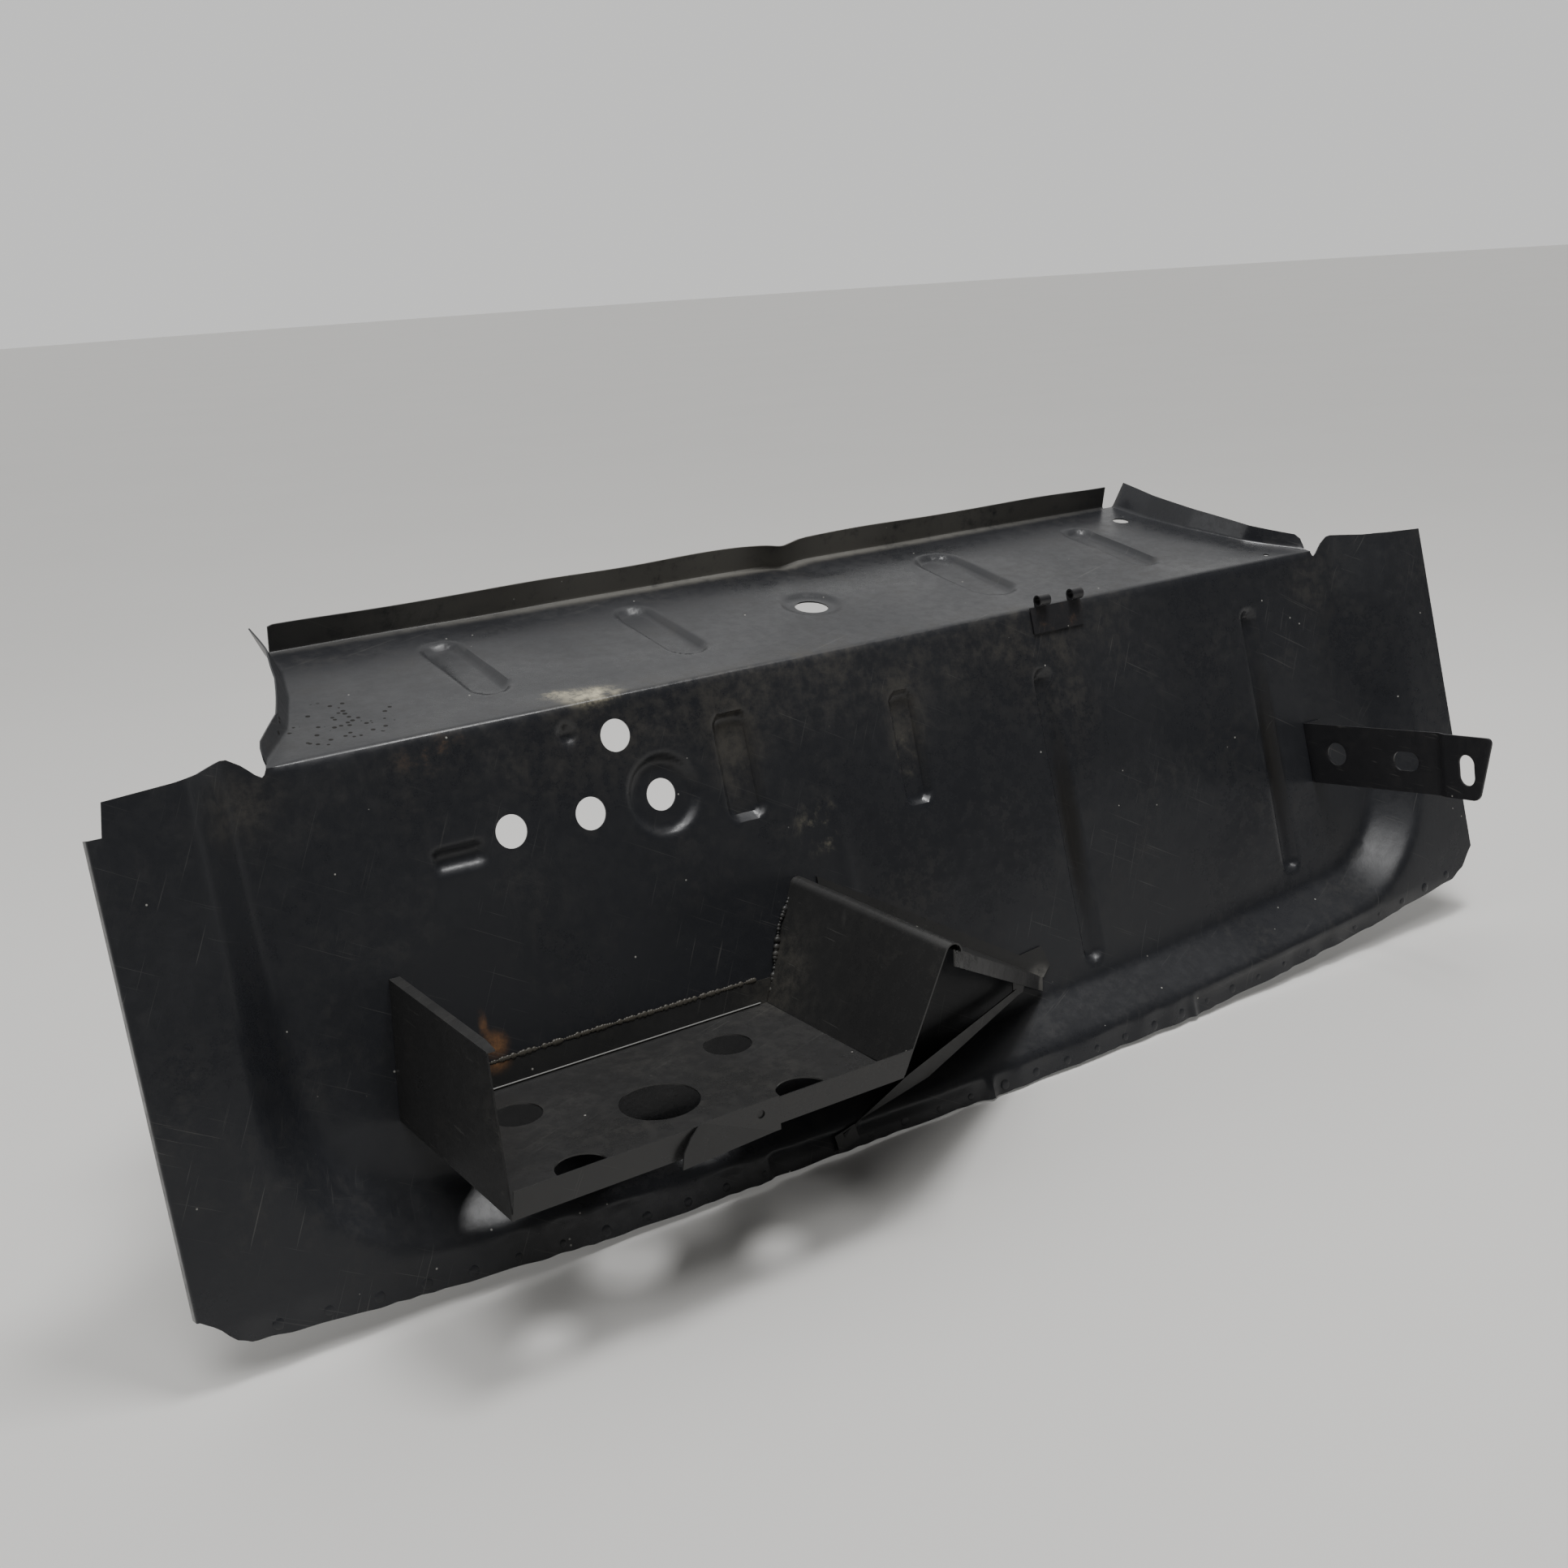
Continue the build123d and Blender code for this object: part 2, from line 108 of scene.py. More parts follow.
# The panel's own directions and the middle of its fold, from the mounts.
shelfUp = np.array(mounts["shelf_centre_hole"]["axis"])
faceOut = np.array(mounts["face_hole_1"]["axis"])
along = np.array([1.0, 0, 0])
shelfBack = np.cross(shelfUp, along)
faceDown = np.cross(along, faceOut) * -1
faceDown = faceDown if faceDown[2] < 0 else -faceDown
foldPoint = (np.array(mounts["shelf_centre_hole"]["pos_m"]) / mm + 0.6 * shelfUp
             - panel["shelfHole"] * shelfBack)
rng = np.random.default_rng(panel["seed"])
waves = [(rng.uniform(0.006, 0.045), rng.uniform(0.006, 0.045), rng.uniform(0, 6.28), rng.uniform(0.4, 1))
         for i in range(14)]


def ripple(x, y):
    total = 0
    for a, b, c, amount in waves:
        total = total + amount * np.sin(a * x + b * y + c) / 14 * 2.2
    return total


def smooth(value, low, high):
    t = np.clip((value - low) / (high - low), 0, 1)
    return t * t * (3 - 2 * t)


def softPositive(value, soft):
    return 0.5 * (np.sqrt(value**2 + soft**2) + value)


def roundedBox(x, y, halfX, halfY, corner):
    qx, qy = np.abs(x) - halfX + corner, np.abs(y) - halfY + corner
    return np.hypot(np.maximum(qx, 0), np.maximum(qy, 0)) + np.minimum(np.maximum(qx, qy), 0) - corner


def pressedBar(x, y, place, corner):
    centre, near, far, width = place
    corner = min(width / 2, corner)
    distance = roundedBox(x - centre, y - (near + far) / 2, width / 2, abs(far - near) / 2, corner)
    return 1 - smooth(distance, -panel["beadEdge"], 1.2)


def pressedRing(x, y, place):
    cx, cy, inner, outer, depth = place
    return depth * (1 - smooth(np.hypot(x - cx, y - cy), inner, outer))


def outAt(x, s):
    # how far the sheet stands out from the recessed face
    q = panel
    bottom = q["floorBottom"] - (q["bottomBow"] - np.sqrt(q["bottomBow"]**2 - x**2))
    dx = np.abs(x) - (q["floorHalf"] - q["floorCorner"])
    ds = s - (bottom - q["floorCorner"])
    edge = np.hypot(np.maximum(dx, 0), np.maximum(ds, 0)) + np.minimum(np.maximum(dx, ds), 0)
    edge = edge - q["floorCorner"]
    depth = q["dishDepth"]
    ramp = depth - softPositive(depth - softPositive(edge, q["creaseSoft"]), q["creaseSoft"])
    flat = 1 - smooth(edge, -20, 6)
    rim = smooth(edge, depth + 2, depth + 12)
    height = ramp - q["flatNoise"] * (0.55 + 0.45 * ripple(x * 1.3, s * 1.6)) * (0.35 + 0.65 * flat)
    for place in q["faceBeads"]:
        height = height - q["beadDepth"] * pressedBar(x, s, place, q["beadCorner"])
    cx, cs, half, radius = q["sideBead"]
    distance = roundedBox(x - cx, s - cs, half + radius, radius, 6)
    height = height - 5 * (1 - smooth(distance, -6, 1.5))
    height = height - pressedRing(x, s, q["ring"])
    cx, cs, radius, deep = q["dimple"]
    height = height - deep * (1 - smooth(np.hypot(x - cx, s - cs), radius * 0.2, radius * 1.2))
    height = height + 1.3 * np.exp(-((x + 76) / 7)**2) * smooth(s, 118, 130) * (1 - smooth(s, 205, 222))
    # the bottom strip steps in and out, and is battered
    low = smooth(s, 345, 362) * rim
    for place, step in q["joggles"]:
        height = height - low * step * smooth(x, place - 5, place + 5)
        height = height + low * 3.6 * np.exp(-((x - place - 5) / 4.5)**2)
    height = height - low * q["rimNoise"] * (0.5 + 0.5 * np.sin(x * 0.11 + 2 * np.sin(x * 0.031)))
    return height


def upAt(x, t):
    # how far the shelf's surface stands up
    q = panel
    height = -q["flatNoise"] * (0.5 + 0.5 * ripple(x + 900, t * 1.8)) * smooth(t, 4, 40)
    for place in q["shelfBeads"]:
        height = height - q["shelfBeadDepth"] * pressedBar(x, t, place, 99)
    height = height - pressedRing(x, t, q["shelfRing"])
    height = height - 3.2 * np.exp(-((x - 34 - (205 - t) * 0.5) / 14)**2) * smooth(t, 150, 196)
    return height


def spaced(start, end, base, fine, zones):
    lines = [start]
    while lines[-1] < end - 1e-6:
        here = lines[-1]
        step = fine if any(low - base < here < high for low, high in zones) else base
        lines.append(min(here + step, end))
    if lines[-1] - lines[-2] < fine * 0.4:
        lines.pop(-2)
    return np.array(lines)


def facePoints(x, s):
    # the fold is rounded between the shelf's ends
    q = panel
    soft = q["foldRound"] * np.clip((q["foldHalf"] - np.abs(x)) / 20, 0, 1) + 1e-4
    inner = np.abs(x) <= q["foldHalf"]
    t = np.clip((s + soft) / (2 * soft), 0, 1)
    height = outAt(x, s)
    run = np.where(inner & (s < soft), t**2 * soft, s)
    back = np.where(inner & (s < soft), (1 - t)**2 * soft, 0)
    return (foldPoint + along * x[..., None] + faceDown * run[..., None] + shelfBack * back[..., None]
            + faceOut * height[..., None])


def shelfPoints(x, t):
    q = panel
    soft = q["foldRound"] * np.clip((q["foldHalf"] - np.abs(x)) / 20, 0, 1) + 1e-4
    k = np.clip((soft - t) / (2 * soft), 0, 1)
    height = upAt(x, t)
    base = outAt(x, t * 0) * (1 - smooth(t, 0, 6))
    run = np.where(t < soft, k**2 * soft, 0)
    back = np.where(t < soft, (1 - k)**2 * soft, t)
    return (foldPoint + along * x[..., None] + faceDown * run[..., None] + shelfBack * back[..., None]
            + shelfUp * height[..., None] + faceOut * base[..., None])


def shelfEnd(t):
    ends = np.array(panel["shelfEnds"], float)
    return np.interp(t, ends[:, 0], ends[:, 1])


def gridFaces(rows, columns, start, flip=False):
    a = (np.arange(rows - 1)[:, None] * columns + np.arange(columns - 1)[None, :] + start).ravel()
    quads = np.stack([a, a + 1, a + 1 + columns, a + columns], 1)
    return quads[:, ::-1] if flip else quads


def sheetMesh(name, grids):
    points, quads, start = [], [], 0
    for grid, flip in grids:
        rows, columns = grid.shape[:2]
        points.append(grid.reshape(-1, 3))
        quads.append(gridFaces(rows, columns, start, flip))
        start += rows * columns
    mesh = bpy.data.meshes.new(name)
    mesh.from_pydata((np.concatenate(points) * mm).tolist(), [], np.concatenate(quads).tolist())
    work = bmesh.new()
    work.from_mesh(mesh)
    bmesh.ops.remove_doubles(work, verts=work.verts, dist=0.00012)
    bmesh.ops.dissolve_degenerate(work, edges=work.edges, dist=0.00002)
    work.to_mesh(mesh)
    work.free()
    return mesh


def placeMesh(name, mesh):
    piece = bpy.data.objects.new(name, mesh)
    bpy.context.scene.collection.objects.link(piece)
    return piece


def applied(piece):
    graph = bpy.context.evaluated_depsgraph_get()
    mesh = bpy.data.meshes.new_from_object(piece.evaluated_get(graph))
    piece.modifiers.clear()
    piece.data = mesh
    return piece


def smoothShaded(piece, angle=32):
    piece.data.polygons.foreach_set("use_smooth", [True] * len(piece.data.polygons))
    piece.data.set_sharp_from_angle(angle=math.radians(angle))


print("shaping the panel")
beadZones = [(c + side * w / 2 - 5, c + side * w / 2 + 5)
             for c, n, f, w in panel["faceBeads"] + panel["shelfBeads"] for side in (-1, 1)]
xZones = beadZones + [(-262, -192), (-312, -280), (-422, -374), (-90, -62), (-34, 34)]
xZones += [(place - 8, place + 16) for place, step in panel["joggles"]]
inner = spaced(-520, 520, 8.5, 3, xZones)
leftPart = np.concatenate([[-648, -644, -641, -640.2], np.linspace(-636, -524, 27), [-522, -520]])
rightPart = np.concatenate([[520, 522], np.linspace(524, 634, 27), [637, 639.7]])
sRows = spaced(0, 389, 5.5, 3.2, [(14, 62), (76, 122), (128, 144), (288, 318), (326, 376)]) / 389


def faceGrid(x):
    top = np.where(np.abs(x) <= 520, 0, np.interp(np.abs(x), *np.array(panel["rimTop"], float).T))
    top = np.where(x < -640.1, 21, top)
    left = np.interp(np.abs(x), *np.array(panel["rimBottomLeft"], float).T)
    right = np.interp(np.abs(x), *np.array(panel["rimBottomRight"], float).T)
    bottom = np.where(x < 0, left, right) - 0.8 * (0.5 + 0.5 * np.sin(x * 0.21 + 3 * np.sin(x * 0.05)))
    xs, v = np.meshgrid(x, sRows)
    return xs, top + (bottom - top) * v


xs, ss = faceGrid(inner)
middleFace = facePoints(xs, ss)
xs, ss = faceGrid(leftPart)
leftFace = facePoints(xs, ss)
xs, ss = faceGrid(rightPart)
rightFace = facePoints(xs, ss)
# flange turned back along the left edge
turned = [leftFace[:, 0]]
for side, back in ((-1.2, 0.4), (-1.9, 1.4), (-2, 3), (-2, 6), (-2, panel["returnDepth"])):
    turned.append(leftFace[:, 0] + along * side - faceOut * back)
leftReturn = np.stack(turned[::-1], 1)

tRows = np.concatenate([[0, 1.2, 2.6, 4, 6], spaced(8, 202, 5.5, 3.4, [(42, 58), (155, 172), (70, 134)])])
cols, ts = np.meshgrid(inner, tRows)
outer = 440 + (np.abs(cols) - 440) * (shelfEnd(ts) - 440) / 80
shelfX = np.where(np.abs(cols) <= 440, cols, np.sign(cols) * outer)
shelfGrid = shelfPoints(shelfX, ts)

# turned-up end flanges, rounded at their foot
turnAngle = math.radians(90 - panel["flangeLean"])
widths = np.interp(tRows, *np.array(panel["flangeWidths"], float).T)


def turnedUp(length, radius, angle):
    bend = np.minimum(length, radius)
    over = radius / angle * np.sin(angle * bend / radius) + (length - bend) * math.cos(angle)
    rise = radius / angle * (1 - np.cos(angle * bend / radius)) + (length - bend) * math.sin(angle)
    return over, rise


def endGrid(side):
    edge = shelfGrid[:, -1 if side > 0 else 0]
    stack = [edge]
    for part in (0.08, 0.18, 0.35, 0.6, 0.8, 1):
        over, rise = turnedUp(widths * part, 3.0, turnAngle)
        wave = 0.5 * np.sin(tRows * 0.07 + side) * part
        stack.append(edge + along * side * (over + wave)[:, None] + shelfUp * rise[:, None])
    return np.stack(stack, 1)


# turned-up lip along the back, with a dent
lipColumns = (shelfX[-1] > -445) & (inner <= panel["lipHalf"])
backEdge = shelfGrid[-1][lipColumns]
lipX = inner[lipColumns]
lipStack = [backEdge]
for part in (0.05, 0.1, 0.15, 0.3, 0.5, 0.75, 1):
    height = panel["lipHeight"] * (1 - 0.03 * (1 + np.sin(lipX * 0.033)))
    over, rise = turnedUp(height * part + 1, 3.0, math.radians(90))
    dent = 5 * np.exp(-((lipX - 22) / 22)**2) * part + 0.5 * (1 + np.sin(lipX * 0.045)) * part
    lipStack.append(backEdge + shelfBack * (over - dent - 0.12)[:, None] + shelfUp * rise[:, None])
lipGrid = np.stack(lipStack, 0)

mesh = sheetMesh("bulkheadSheet", [(middleFace, True), (leftFace, True), (rightFace, True),
                                   (leftReturn, True), (shelfGrid, False), (endGrid(1), False),
                                   (endGrid(-1), True), (lipGrid, False)])
bulkhead = placeMesh("bulkheadPanel", mesh)
work = bmesh.new()
work.from_mesh(mesh)
bmesh.ops.recalc_face_normals(work, faces=work.faces)
sample = min(work.faces, key=lambda f: (f.calc_center_median() - Vector((0.1, 0, 0))).length)
if sample.normal.z < 0:
    bmesh.ops.reverse_faces(work, faces=work.faces)
work.to_mesh(mesh)
work.free()
thicken = bulkhead.modifiers.new("sheet", "SOLIDIFY")
thicken.thickness = panel["sheet"] * mm
thicken.offset = -1
thicken.use_even_offset = True

cutMesh = bpy.data.meshes.new("holeTools")
work = bmesh.new()
for name, mount in mounts.items():
    if mount["kind"] == "bore" and (name.startswith("shelf") or name.startswith("face")):
        turn = Vector(mount["axis"]).to_track_quat("Z", "Y").to_matrix().to_4x4()
        bmesh.ops.create_cone(work, cap_ends=True, segments=56, radius1=mount["dims"]["r_mm"] * mm,
                              radius2=mount["dims"]["r_mm"] * mm, depth=0.03,
                              matrix=Matrix.Translation(mount["pos_m"]) @ turn)
work.to_mesh(cutMesh)
work.free()
cutter = placeMesh("holeTools", cutMesh)
cut = bulkhead.modifiers.new("holes", "BOOLEAN")
cut.operation = "DIFFERENCE"
cut.solver = "EXACT"
cut.object = cutter
applied(bulkhead)
bpy.data.objects.remove(cutter)
smoothShaded(bulkhead, 40)
print("panel triangles", sum(len(p.vertices) - 2 for p in bulkhead.data.polygons))


def link(tree, output, target):
    tree.links.new(output, target)


def mathNode(tree, operation, first, second=None, clamp=False):
    made = tree.nodes.new("ShaderNodeMath")
    made.operation = operation
    made.use_clamp = clamp
    for index, value in enumerate((first, second)):
        if isinstance(value, (int, float)):
            made.inputs[index].default_value = value
        elif value is not None:
            link(tree, value, made.inputs[index])
    return made.outputs[0]


def ranged(tree, value, low, high, toLow=0.0, toHigh=1.0):
    made = tree.nodes.new("ShaderNodeMapRange")
    made.interpolation_type = "SMOOTHSTEP"
    link(tree, value, made.inputs["Value"])
    for key, number in (("From Min", low), ("From Max", high), ("To Min", toLow), ("To Max", toHigh)):
        made.inputs[key].default_value = number
    return made.outputs["Result"]


def noise(tree, source, scale, detail=4.0, rough=0.6, stretch=None, turn=(0, 0, 0)):
    vector = source
    if stretch:
        mapping = tree.nodes.new("ShaderNodeMapping")
        mapping.vector_type = "TEXTURE"
        mapping.inputs["Scale"].default_value = stretch
        mapping.inputs["Rotation"].default_value = turn
        link(tree, source, mapping.inputs["Vector"])
        vector = mapping.outputs["Vector"]
    made = tree.nodes.new("ShaderNodeTexNoise")
    made.inputs["Scale"].default_value = scale
    made.inputs["Detail"].default_value = detail
    made.inputs["Roughness"].default_value = rough
    link(tree, vector, made.inputs["Vector"])
    return made.outputs["Fac"]


def mixed(tree, factor, first, second):
    made = tree.nodes.new("ShaderNodeMix")
    made.data_type = "RGBA"
    link(tree, factor, made.inputs[0])
    for index, value in ((6, first), (7, second)):
        if isinstance(value, tuple):
            made.inputs[index].default_value = (*value, 1)
        else:
            link(tree, value, made.inputs[index])
    return made.outputs[2]


def patchMask(tree, source, place, size):
    moved = tree.nodes.new("ShaderNodeVectorMath")
    moved.operation = "SUBTRACT"
    link(tree, source, moved.inputs[0])
    moved.inputs[1].default_value = place
    scaled = tree.nodes.new("ShaderNodeVectorMath")
    scaled.operation = "DIVIDE"
    link(tree, moved.outputs[0], scaled.inputs[0])
    scaled.inputs[1].default_value = size
    length = tree.nodes.new("ShaderNodeVectorMath")
    length.operation = "LENGTH"
    link(tree, scaled.outputs[0], length.inputs[0])
    return ranged(tree, length.outputs["Value"], 0.15, 1.0, 1.0, 0.0)


def coating(name, colour, dustiness, patches, upDust=1.0, drops=None):
    material = bpy.data.materials.new(name)
    material.use_nodes = True
    tree = material.node_tree
    shader = tree.nodes["Principled BSDF"]
    source = tree.nodes.new("ShaderNodeTexCoord").outputs["Object"]
    broad = noise(tree, source, 5.0, 3, 0.5)
    cloud = noise(tree, source, 17.0, 6, 0.66)
    grain = noise(tree, source, 95.0, 8, 0.72)
    fine = noise(tree, source, 620.0, 3, 0.5)
    split = tree.nodes.new("ShaderNodeSeparateXYZ")
    link(tree, tree.nodes.new("ShaderNodeNewGeometry").outputs["Normal"], split.inputs[0])
    facingUp = ranged(tree, split.outputs["Z"], 0.35, 0.98)

    texture = mathNode(tree, "ADD", mathNode(tree, "MULTIPLY", grain, 0.6),
                       mathNode(tree, "MULTIPLY", cloud, 0.4))
    blotch = mathNode(tree, "MULTIPLY", ranged(tree, cloud, 0.42, 0.72), ranged(tree, grain, 0.42, 0.66))
    settled = mathNode(tree, "MULTIPLY", facingUp, ranged(tree, texture, 0.35, 0.75, 0.2, 1.0))
    dust = mathNode(tree, "ADD", mathNode(tree, "MULTIPLY", blotch, 0.3 * dustiness),
                    mathNode(tree, "MULTIPLY", settled, 0.4 * dustiness * upDust), True)
    base = mixed(tree, dust, tuple(colour[:3]), coat["dust"])
    marks = dust
    for kind, place, size, amount, low in patches:
        mask = mathNode(tree, "MULTIPLY", patchMask(tree, source, place, size),
                        ranged(tree, texture, low - 0.06, low + 0.2))
        mask = mathNode(tree, "MULTIPLY", mask, amount, True)
        base = mixed(tree, mask, base, coat[kind])
        marks = mathNode(tree, "MAXIMUM", marks, mask)
    # long thin scratches, two ways across upright sheet and one way across level sheet
    upright = mathNode(tree, "SUBTRACT", 1.0, facingUp)
    scratches = None
    for stretch, turn, where in (((3, 1, 0.03), (0, 0.5, 0), upright),
                                 ((2.4, 1, 0.035), (0, -1.1, 0), upright),
                                 ((3, 0.03, 1), (0, 0, 0.35), facingUp)):
        streaks = ranged(tree, noise(tree, source, 30, 2, 0.4, stretch, turn), 0.7, 0.74)
        lines = mathNode(tree, "MULTIPLY", streaks, where)
        scratches = lines if scratches is None else mathNode(tree, "MAXIMUM", scratches, lines)
    scratches = mathNode(tree, "MULTIPLY", scratches, ranged(tree, broad, 0.38, 0.6))
    base = mixed(tree, mathNode(tree, "MULTIPLY", scratches, 0.2), base, coat["bare"])
    cells = tree.nodes.new("ShaderNodeTexVoronoi")
    cells.inputs["Scale"].default_value = 90
    link(tree, source, cells.inputs["Vector"])
    chosen = tree.nodes.new("ShaderNodeSeparateColor")
    link(tree, cells.outputs["Color"], chosen.inputs[0])
    specks = mathNode(tree, "MULTIPLY", ranged(tree, cells.outputs["Distance"], 0.05, 0.09, 1.0, 0.0),
                      ranged(tree, chosen.outputs[0], 0.9, 0.93))
    base = mixed(tree, mathNode(tree, "MULTIPLY", specks, 0.6), base, coat["speck"])
    tarred = None
    if drops:
        spots = tree.nodes.new("ShaderNodeTexVoronoi")
        spots.inputs["Scale"].default_value = 190
        link(tree, source, spots.inputs["Vector"])
        chosen = tree.nodes.new("ShaderNodeSeparateColor")
        link(tree, spots.outputs["Color"], chosen.inputs[0])
        shape = mathNode(tree, "MULTIPLY", ranged(tree, spots.outputs["Distance"], 0.28, 0.4, 1.0, 0.0),
                         ranged(tree, chosen.outputs[0], 0.6, 0.7))
        shape = mathNode(tree, "MULTIPLY", shape, patchMask(tree, source, *drops))
        tarred = ranged(tree, shape, 0.2, 0.4)
        base = mixed(tree, tarred, base, coat["tarAndShade"])
    link(tree, base, shader.inputs["Base Color"])

    rough = ranged(tree, broad, 0.3, 0.7, coat["roughLow"], coat["roughHigh"])
    rough = mathNode(tree, "ADD", rough, mathNode(tree, "MULTIPLY", marks, 0.22))
    rough = mathNode(tree, "ADD", rough, ranged(tree, grain, 0.35, 0.7, -0.05, 0.07), True)
    if tarred:
        rough = mathNode(tree, "ADD", rough, mathNode(tree, "MULTIPLY", tarred, 0.6), True)
    link(tree, rough, shader.inputs["Roughness"])
    shader.inputs["Specular IOR Level"].default_value = 0.38
    shader.inputs["Coat Weight"].default_value = 0.08
    shader.inputs["Coat Roughness"].default_value = 0.22

    relief = mathNode(tree, "ADD", mathNode(tree, "MULTIPLY", fine, 0.03),
                      mathNode(tree, "MULTIPLY", grain, 0.35))
    relief = mathNode(tree, "ADD", relief, mathNode(tree, "MULTIPLY", marks, 0.12))
    relief = mathNode(tree, "ADD", relief, mathNode(tree, "MULTIPLY", cloud, 1.3))
    if tarred:
        relief = mathNode(tree, "ADD", relief, mathNode(tree, "MULTIPLY", tarred, 0.8))
    bump = tree.nodes.new("ShaderNodeBump")
    bump.inputs["Strength"].default_value = 0.3
    bump.inputs["Distance"].default_value = 0.0011
    link(tree, relief, bump.inputs["Height"])
    link(tree, bump.outputs["Normal"], shader.inputs["Normal"])
    return material


def onFace(x, s, out=0):
    return tuple((foldPoint + along * x + faceDown * s + faceOut * out) * mm)


def onShelf(x, t, up=0):
    return tuple((foldPoint + along * x + shelfBack * t + shelfUp * up) * mm)


print("mixing materials")
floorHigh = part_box("tray_floor")[1]
panelPatches = [
    ("dust", onFace(-90, 18), (0.50, 0.045, 0.06), 0.5, 0.46),
    ("dust", onFace(170, 60), (0.06, 0.05, 0.10), 0.45, 0.48),
    ("dust", onFace(-156, 62), (0.034, 0.04, 0.055), 0.7, 0.42),
    ("dust", onFace(9, 66), (0.03, 0.04, 0.06), 0.6, 0.42),
    ("cream", onFace(6, 98), (0.02, 0.02, 0.03), 0.5, 0.56),
    ("rust", onFace(-396, 14), (0.045, 0.025, 0.02), 0.4, 0.56),
    ("cream", onShelf(-266, 12), (0.034, 0.02, 0.014), 1.0, 0.44),
    ("cream", onShelf(-288, 24), (0.022, 0.012, 0.006), 0.9, 0.5),
    # the lip's front gets a dust patch and a pale patch over it; together they are a painted reflection
    # lightening the lip, the dust patch also being dust
    ("dust", onShelf(0, 205, 16), (0.50, 0.02, 0.035), 0.9, 0.4),
    ("paintedReflection", onShelf(0, 206, 15), (0.62, 0.014, 0.05), 0.9, 0.3),
    # the two long dark strips in the grooves of ribs 3 and 4 are painted shade, in the tar colour
    ("tarAndShade", onFace(166, 190, -4), (0.012, 0.03, 0.17), 0.9, 0.28),
    ("tarAndShade", onFace(426, 175, -4), (0.012, 0.03, 0.17), 0.9, 0.28),
    ("dust", onFace(-545, 24, 16), (0.045, 0.05, 0.035), 0.5, 0.44),
    ("dust", onFace(520, 30, 10), (0.05, 0.05, 0.05), 0.4, 0.42),
    ("rust", onFace(-401, 228), (0.014, 0.02, 0.013), 0.8, 0.36),
    ("rust", onFace(-407, 214), (0.005, 0.02, 0.018), 0.6, 0.42),
    ("cream", onFace(-92, 137), (0.03, 0.02, 0.03), 0.5, 0.56),
    ("dust", onFace(-60, 235), (0.10, 0.05, 0.06), 0.35, 0.48),
]
trayPatches = [
    ("rust", onFace(-404, 240, 3), (0.016, 0.012, 0.012), 0.8, 0.4),
    ("dust", (floorHigh[0], floorHigh[1] - 0.01, floorHigh[2] + 0.01), (0.05, 0.05, 0.07), 0.7, 0.42),
    ("bare", (0.096, -0.18, -0.325), (0.02, 0.02, 0.02), 0.8, 0.4),
]
panelCoat = coating("panelCoating", colours["panel_coating"], 0.62, panelPatches, 0.35,
                    (onShelf(-452, 52), (0.075, 0.06, 0.03)))
trayCoat = coating("trayCoating", colours["tray_coating"], 0.6, trayPatches, 0.3)
bracketCoat = coating("bracketCoating", colours["bracket_coating"], 0.5,
                      [("rust", onFace(189, 12), (0.04, 0.02, 0.02), 0.4, 0.55)], 0.4)

sealerCoat = coating("sealer", (0.06, 0.055, 0.045), 1.0, [])
# pale grey coat for the floor's back bend, a painted highlight
bendHighlightCoat = coating("paintedHighlightBend", (0.22, 0.22, 0.21), 0.2, [])


def dressed(piece, material):
    if not piece.material_slots:
        piece.data.materials.append(material)
    for held in piece.material_slots:
        held.material = material


dressed(bulkhead, panelCoat)
for name in ("tray_floor", "tray_left_wall", "tray_right_wall", "tray_brace", "clamp_tab"):
    dressed(frame["nodes"][name], trayCoat)
dressed(frame["nodes"]["loop_clip"], bracketCoat)
for name, piece in frame["nodes"].items():
    if name not in ("bulkhead_panel", "strap_bracket"):
        soft = piece.modifiers.new("softEdges", "BEVEL")
        soft.width = 0.0004
        soft.segments = 2
        soft.limit_method = "ANGLE"
        soft.angle_limit = math.radians(35)
        soft.harden_normals = True


# The bracket is one strip with a step before its end tab.
print("bending the bracket")
boreAxis = np.array(mounts["bracket_hole"]["axis"])
climb = math.radians(strap["climb"])
run = np.array([0, -math.cos(climb), math.sin(climb)])
across = np.array([0, -math.sin(climb), -math.cos(climb)])
strapRoot = (np.array(mounts["bracket_hole"]["pos_m"]) / mm - boreAxis * 1
             - run * strap["hole"][0] - across * strap["hole"][1])


def strapPath(length):
    # sideways and forward position along the strip, with its turns rounded
    steps = np.linspace(0, 1, 260) * length
    first, second = strap["arm"], strap["arm"] + strap["stepRun"]
    ease = strap["bendEase"]
    turn = (smooth(steps, first - ease, first + ease) * strap["stepTurn"]
            - smooth(steps, second - ease, second + ease) * (strap["stepTurn"] - strap["tabTurn"]))
    angle = np.radians(turn)
    step = steps[1] - steps[0]
    return steps, -np.cumsum(np.sin(angle)) * step, np.cumsum(np.cos(angle)) * step


steps, sideways, forward = strapPath(strap["tabEnd"])
vLines = np.concatenate([[-28.8, -28.3, -27.2, -25.2, -23], np.linspace(-19, 19, 9),
                         [23, 25.2, 27.2, 28.3, 28.8]])
gridRows = []
for v in vLines:
    start = -v * (across @ faceOut) / (run @ faceOut)
    inset = max(abs(v) - strap["half"] + strap["corner"], 0)
    end = (strap["tabEnd"] - strap["tabSlant"] * (v / strap["half"] + 1) / 2
           - strap["corner"] + math.sqrt(max(strap["corner"]**2 - inset**2, 0)))
    us = np.concatenate([np.linspace(start, 140, 16)[:-1], np.linspace(140, 168, 24)[:-1],
                         np.linspace(168, end, 9)])
    side = np.where(us < 0, 0, np.interp(us, steps, sideways))
    ahead = np.where(us < 0, us, np.interp(us, steps, forward))
    gridRows.append(strapRoot + along * side[:, None] + run * ahead[:, None] + across * v)
